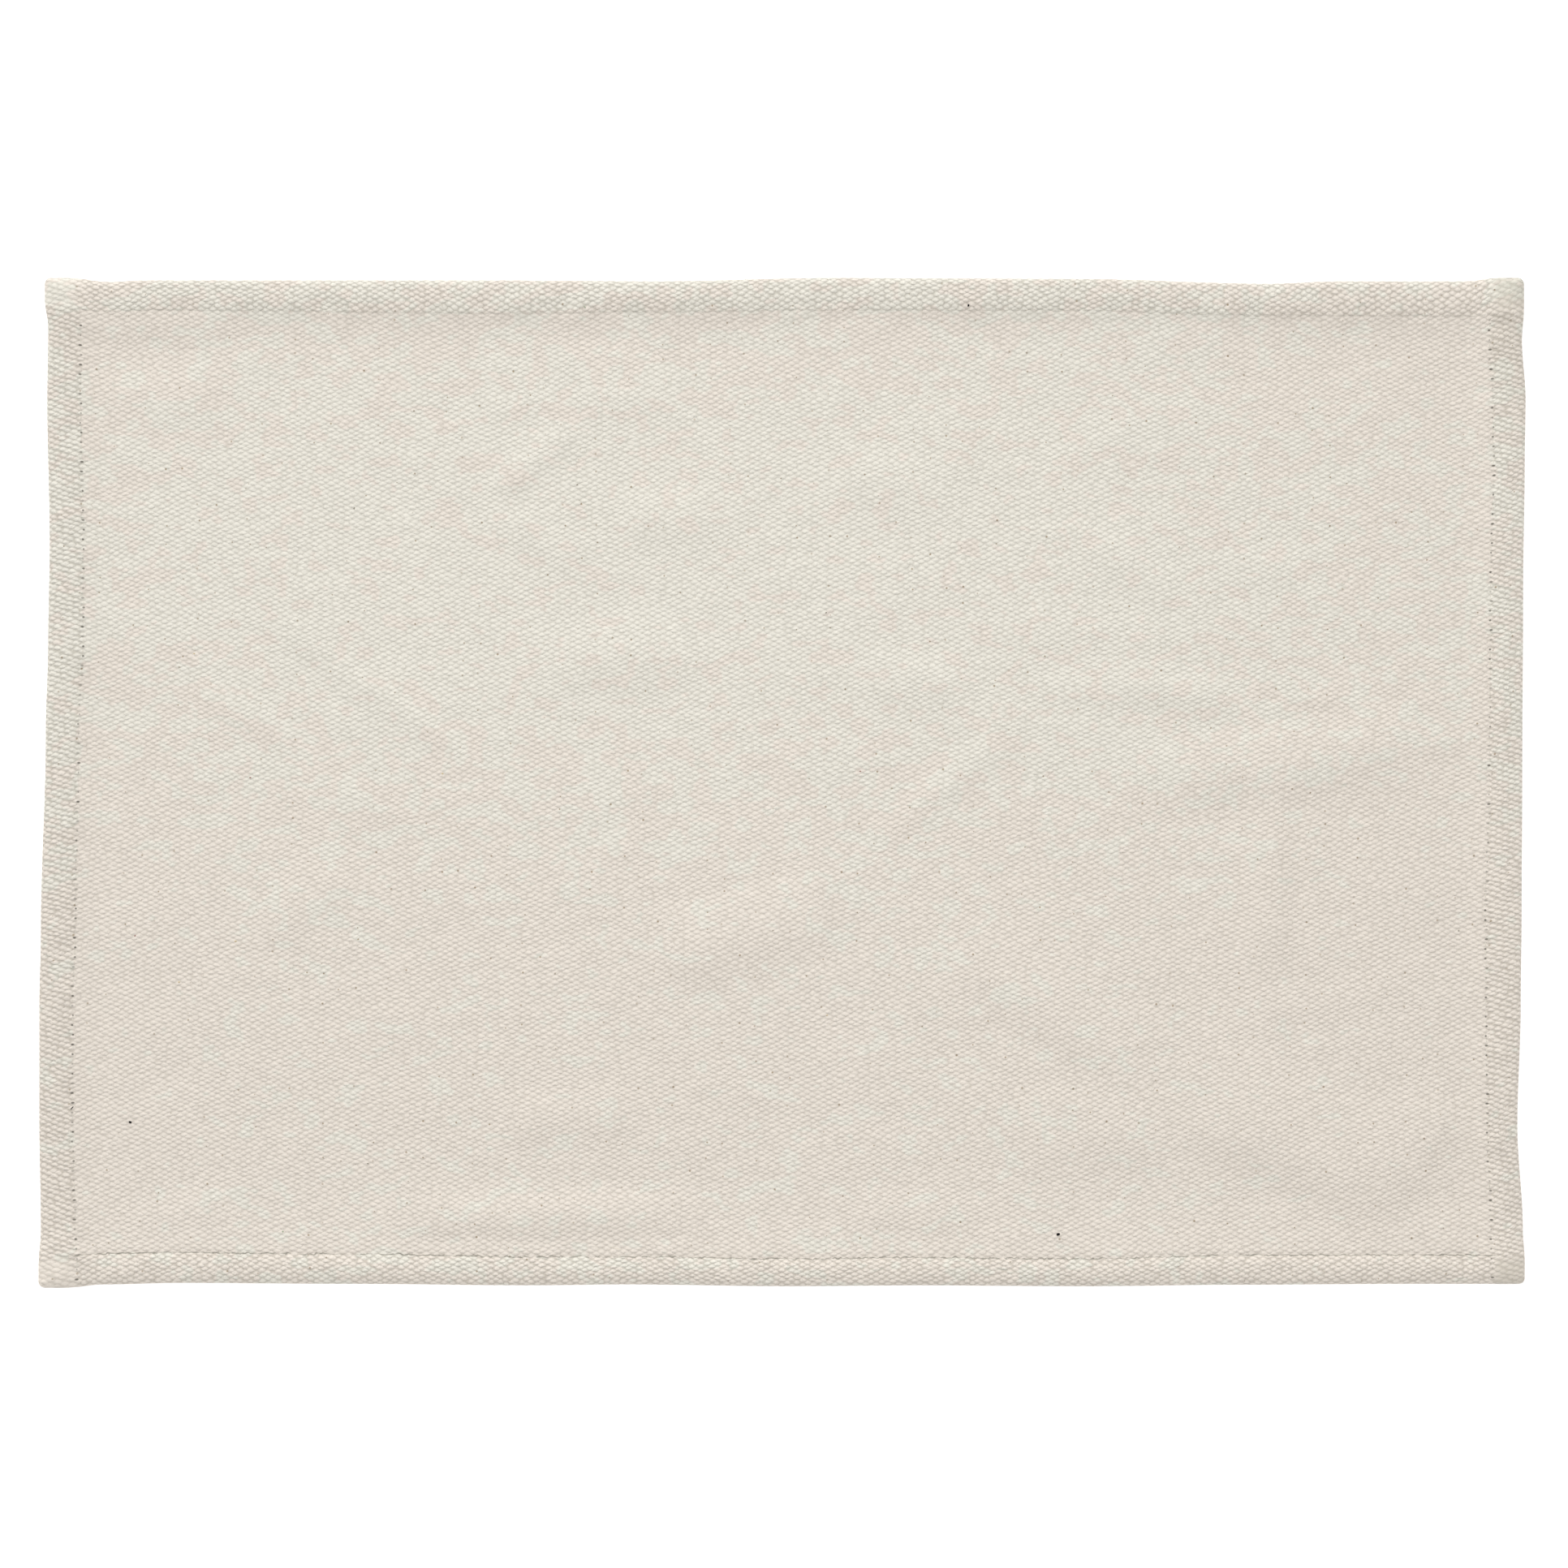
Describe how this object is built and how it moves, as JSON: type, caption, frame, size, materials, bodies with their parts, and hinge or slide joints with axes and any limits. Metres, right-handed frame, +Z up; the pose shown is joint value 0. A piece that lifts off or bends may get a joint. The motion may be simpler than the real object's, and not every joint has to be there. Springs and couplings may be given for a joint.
{
  "type": "placemat",
  "caption": "Rectangular woven canvas placemat with turned, sewn hems, lying face up on a table.",
  "frame": {"origin": "on the table under the middle of the mat's box", "axes": "+X along the long side, +Y towards the far side, +Z up from the table"},
  "size_m": [0.488, 0.3314, 0.0048],
  "materials": {
    "cotton_canvas": "coarse matte plain weave"
  },
  "bodies": {
    "root": {"mat": "cotton_canvas"}
  },
  "joints": []
}
